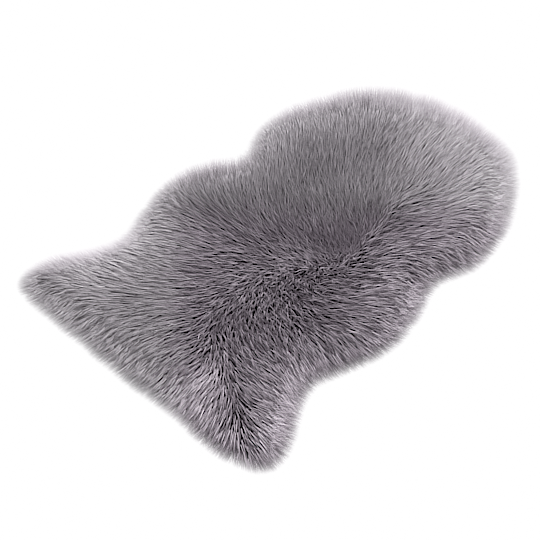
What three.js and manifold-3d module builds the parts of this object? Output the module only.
// A shag rug cut in the outline of a fleece, lying flat. Its long pile is combed outwards from a
// parting along the spine, so the top is a low cushion of overlapping tufts and the rim is a ring of
// loose locks. Millimetres, +Z up, +Y from the tail to the head, origin on the floor under the middle.
import * as THREE from "three";
import { mergeVertices } from "three/addons/utils/BufferGeometryUtils.js";
import Module from "manifold-3d";

// The edge that the pile makes, from the tail to the head, a row for each section across the spine
const SECTIONS = [
  { place: "tail middle", along: -450, left: 0, right: 0 },
  { place: "tail edge", along: -447, left: 140, right: 144 },
  { place: "tail corner", along: -444, left: 260, right: 262 },
  { place: "tail tip", along: -413, left: 287, right: 310 },
  { place: "leg", along: -353, left: 264, right: 285 },
  { place: "waist", along: -255, left: 231, right: 238 },
  { place: "hip", along: -169, left: 264, right: 258 },
  { place: "flank", along: -89, left: 290, right: 273 },
  { place: "loin", along: -5, left: 264, right: 259 },
  { place: "neck", along: 62, left: 234, right: 230 },
  { place: "shoulder", along: 160, left: 280, right: 251 },
  { place: "cheek", along: 258, left: 261, right: 231 },
  { place: "crown", along: 361, left: 209, right: 178 },
  { place: "brow", along: 429, left: 111, right: 105 },
  { place: "head middle", along: 450, left: 0, right: 0 },
];
const EDGE_TENSION = 0.5;

// The pile as it lies: a rounded border, a level field and a shallow parting
const PILE_HEIGHT = 43;
const BORDER_WIDTH = 58;
const RIM_INSET = 13;
const PARTING_DIP = 5;
const PARTING_SHARE = 0.5;
const PARTING_HALF_LENGTH = 210;
const PARTING_PITCH = 21;

// The tufts: ridges along the comb, staggered from row to row
const COLUMNS = 168;
const BORDER_RINGS = 4;
const FIELD_RINGS = 9;
const RINGS_PER_TUFT = 2;
const TUFT_CREST = 7;
const TUFT_HOLLOW = 3;
const TUFT_WIDTH = 9;
const RIM_SCALLOP = 3;
const TUFT_SEED = 7;

// The rim locks, two rows round the edge: one lies on the floor, one drapes above it
const LOCK_ROWS = [
  { lies: "on the floor", count: 104, start: 0, reach: 18, seed: 21 },
  { lies: "draped", count: 104, start: 0.5, reach: 15, seed: 22 },
];
// A lock from root to tip: out is a share of its free reach, sway of its bend to one side, and lift
// is the height of its underside where it drapes
const LOCK_STATIONS = [
  { out: -1.4, halfWidth: 7.5, ridge: 17, sway: 0, lift: 17 },
  { out: 0.25, halfWidth: 5.5, ridge: 9, sway: 0.2, lift: 13 },
  { out: 1, halfWidth: 0, ridge: 0, sway: 1, lift: 6 },
];
const REACH_SPREAD = 0.35;
const TURN_SPREAD = 0.15;
const LOCK_BEND = 3;

const PILE_COLOUR = 0x78727a;

const wasm = await Module();
wasm.setup();
const UP = new THREE.Vector3(0, 0, 1);
const QUARTER_TURN = Math.PI / 2;
const { clamp, lerp, seededRandom } = THREE.MathUtils;

// The next repeatable number from -1 to 1
const eitherWay = () => 2 * seededRandom() - 1;

// The closed edge: up the right side from the tail to the head, and back down the left
function pileEdge() {
  const right = SECTIONS.map((row) => new THREE.Vector3(row.right, row.along, 0));
  const left = SECTIONS.slice(1, -1).map((row) => new THREE.Vector3(-row.left, row.along, 0));
  return new THREE.CatmullRomCurve3([...right, ...left.reverse()], true, "catmullrom", EDGE_TENSION);
}

// The line that the comb takes from the parting to the rim, at a share of the way round the edge
function combLine(edge, share) {
  const end = edge.getPointAt(share);
  const along = clamp(end.y * PARTING_SHARE, -PARTING_HALF_LENGTH, PARTING_HALF_LENGTH);
  const start = new THREE.Vector3(0, along, 0);
  const out = end.clone().sub(start).normalize();
  const length = end.distanceTo(start) - RIM_INSET;
  return { start, out, length };
}

// A point on a comb line, so far in from the rim, at a height
function onLine(line, inset, height) {
  const point = line.start.clone().addScaledVector(line.out, line.length - inset);
  return point.setZ(height);
}

// The point of the parting, one of a few along the spine, where a comb line ends with its neighbours
function onParting(line) {
  const along = Math.round(line.start.y / PARTING_PITCH) * PARTING_PITCH;
  return new THREE.Vector3(0, along, PILE_HEIGHT - PARTING_DIP);
}

// A closed surface over rings of points; points that fall together make a pole or a shared edge
function skin(rings) {
  const corners = [];
  const addTriangle = (a, b, c) => {
    const flat = a.equals(b) || b.equals(c) || c.equals(a);
    if (!flat) corners.push(a, b, c);
  };
  for (let ring = 1; ring < rings.length; ring += 1) {
    const lower = rings[ring - 1];
    const upper = rings[ring];
    lower.forEach((point, place) => {
      const next = (place + 1) % lower.length;
      addTriangle(point, lower[next], upper[next]);
      addTriangle(point, upper[next], upper[place]);
    });
  }
  return mergeVertices(new THREE.BufferGeometry().setFromPoints(corners));
}

function toSolid(geometry) {
  const vertProperties = new Float32Array(geometry.attributes.position.array);
  const triVerts = new Uint32Array(geometry.index.array);
  return new wasm.Manifold(new wasm.Mesh({ numProp: 3, vertProperties, triVerts }));
}

function toGeometry(solid) {
  const { vertProperties, triVerts } = solid.getMesh();
  const geometry = new THREE.BufferGeometry();
  geometry.setAttribute("position", new THREE.BufferAttribute(vertProperties, 3));
  geometry.setIndex(new THREE.BufferAttribute(triVerts, 1));
  return geometry;
}

// How much each tuft stands up, from 0 to 1, a list for each row of tufts round the rug
function tuftHeights() {
  const rows = Math.ceil((BORDER_RINGS + FIELD_RINGS) / RINGS_PER_TUFT) + 1;
  seededRandom(TUFT_SEED);
  return Array.from({ length: rows }, () => Array.from({ length: COLUMNS }, () => seededRandom()));
}

// The slab: floor, rounded border and field, each ring of points lying a step further in
function pileSlab(edge) {
  const lines = Array.from({ length: COLUMNS }, (_, column) => combLine(edge, column / COLUMNS));
  const spacing = edge.getLength() / COLUMNS;
  const heights = tuftHeights();
  const rise = (column, ring, width) => {
    const row = Math.floor(ring / RINGS_PER_TUFT);
    const crest = (column + row) % 2 === 0;
    const relief = crest ? TUFT_CREST * heights[row][column] : -TUFT_HOLLOW * heights[row][column];
    return relief * Math.min(1, width / TUFT_WIDTH);
  };
  const floorMiddle = lines.map(() => new THREE.Vector3());
  const border = Array.from({ length: BORDER_RINGS + 1 }, (_, ring) => {
    const turn = (ring / BORDER_RINGS) * QUARTER_TURN;
    return lines.map((line, column) => {
      const relief = rise(column, ring, spacing);
      const scallop = RIM_SCALLOP * Math.sign(relief) * Math.cos(turn);
      const inset = BORDER_WIDTH * (1 - Math.cos(turn)) - scallop;
      return onLine(line, inset, (PILE_HEIGHT + relief) * Math.sin(turn));
    });
  });
  const field = Array.from({ length: FIELD_RINGS - 1 }, (_, ring) => {
    const way = (ring + 1) / FIELD_RINGS;
    return lines.map((line, column) => {
      const inset = lerp(BORDER_WIDTH, line.length, way);
      const width = spacing * (1 - inset / line.length);
      const relief = rise(column, BORDER_RINGS + ring + 1, width);
      return onLine(line, inset, PILE_HEIGHT - PARTING_DIP * way * way + relief);
    });
  });
  return toSolid(skin([floorMiddle, ...border, ...field, lines.map(onParting)]));
}

// One lock: a three-sided horn with a level underside, rooted in the slab's border
function rimLock(line, row) {
  const reach = row.reach * (1 + REACH_SPREAD * eitherWay());
  const out = line.out.clone().applyAxisAngle(UP, TURN_SPREAD * eitherWay());
  const side = new THREE.Vector3().crossVectors(UP, out);
  const bend = LOCK_BEND * eitherWay();
  const rings = LOCK_STATIONS.map((station) => {
    const lift = row.lies === "draped" ? station.lift : 0;
    const base = onLine(line, 0, lift).addScaledVector(out, station.out * reach);
    base.addScaledVector(side, station.sway * bend);
    return [
      base.clone().addScaledVector(side, station.halfWidth),
      base.clone().addScaledVector(UP, station.ridge),
      base.clone().addScaledVector(side, -station.halfWidth),
    ];
  });
  const rootMiddle = rings[0].map(() => rings[0][0].clone().lerp(rings[0][2], 0.5));
  return toSolid(skin([rootMiddle, ...rings]));
}

function lockRow(edge, row) {
  seededRandom(row.seed);
  return Array.from({ length: row.count }, (_, place) => {
    const line = combLine(edge, (place + row.start) / row.count);
    return rimLock(line, row);
  });
}

const edge = pileEdge();
const locks = LOCK_ROWS.flatMap((row) => lockRow(edge, row));
const pile = toGeometry(wasm.Manifold.union([pileSlab(edge), ...locks]));
pile.computeBoundingBox();
const middle = pile.boundingBox.getCenter(new THREE.Vector3());
pile.computeVertexNormals();

const material = new THREE.MeshStandardMaterial({ color: PILE_COLOUR, roughness: 0.95, metalness: 0 });
const rug = new THREE.Mesh(pile, material);
rug.name = "shag_rug";
rug.position.set(-middle.x, -middle.y, 0);

const group = new THREE.Group();
group.add(rug);
export default group;
